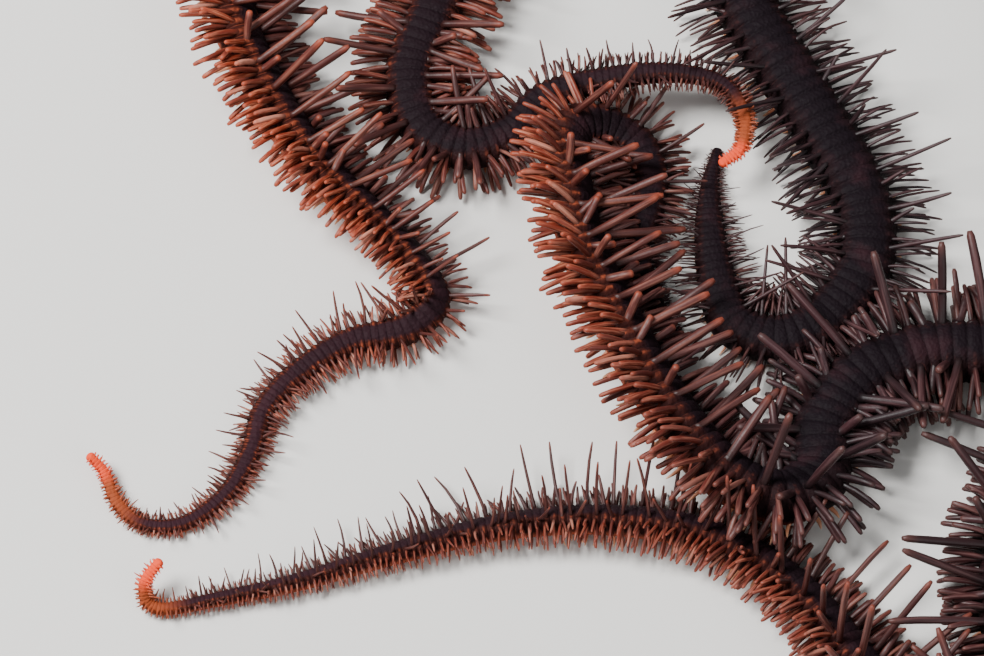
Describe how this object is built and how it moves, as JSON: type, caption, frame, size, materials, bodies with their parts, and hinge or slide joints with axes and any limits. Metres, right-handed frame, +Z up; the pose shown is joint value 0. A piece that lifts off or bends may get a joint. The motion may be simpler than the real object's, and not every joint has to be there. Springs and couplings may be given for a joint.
{
  "type": "brittle star",
  "caption": "Still, life-size brittle star lying on the ground: a small round disc under long, coiled, spiny arms that taper to fine tips.",
  "frame": {"origin": "middle of the mouth, under the disc, on the ground", "axes": "+Z up, away from the ground; -Y towards the viewer of the picture, +X to their right"},
  "size_m": [0.1102, 0.127, 0.0121],
  "materials": {
    "disc_skin": "matt, finely granular",
    "mouth_plates": "matt",
    "arm_skin": "satin, dark back and red-brown spines"
  },
  "bodies": {
    "root": {"disc": "disc_skin", "mouth": "mouth_plates", "arm_1_length_1": "arm_skin", "arm_1_length_2": "arm_skin", "arm_1_length_3": "arm_skin", "arm_1_length_4": "arm_skin", "arm_1_length_5": "arm_skin", "arm_1_length_6": "arm_skin", "arm_2_length_1": "arm_skin", "arm_2_length_2": "arm_skin", "arm_2_length_3": "arm_skin", "arm_2_length_4": "arm_skin", "arm_2_length_5": "arm_skin", "arm_3_length_1": "arm_skin", "arm_3_length_2": "arm_skin", "arm_3_length_3": "arm_skin", "arm_3_length_4": "arm_skin", "arm_3_length_5": "arm_skin", "arm_4_length_1": "arm_skin", "arm_4_length_2": "arm_skin", "arm_4_length_3": "arm_skin", "arm_4_length_4": "arm_skin", "arm_4_length_5": "arm_skin", "arm_4_length_6": "arm_skin", "arm_5_length_1": "arm_skin", "arm_5_length_2": "arm_skin", "arm_5_length_3": "arm_skin", "arm_5_length_4": "arm_skin", "arm_5_length_5": "arm_skin", "arm_5_length_6": "arm_skin", "arm_5_length_7": "arm_skin"}
  },
  "joints": []
}
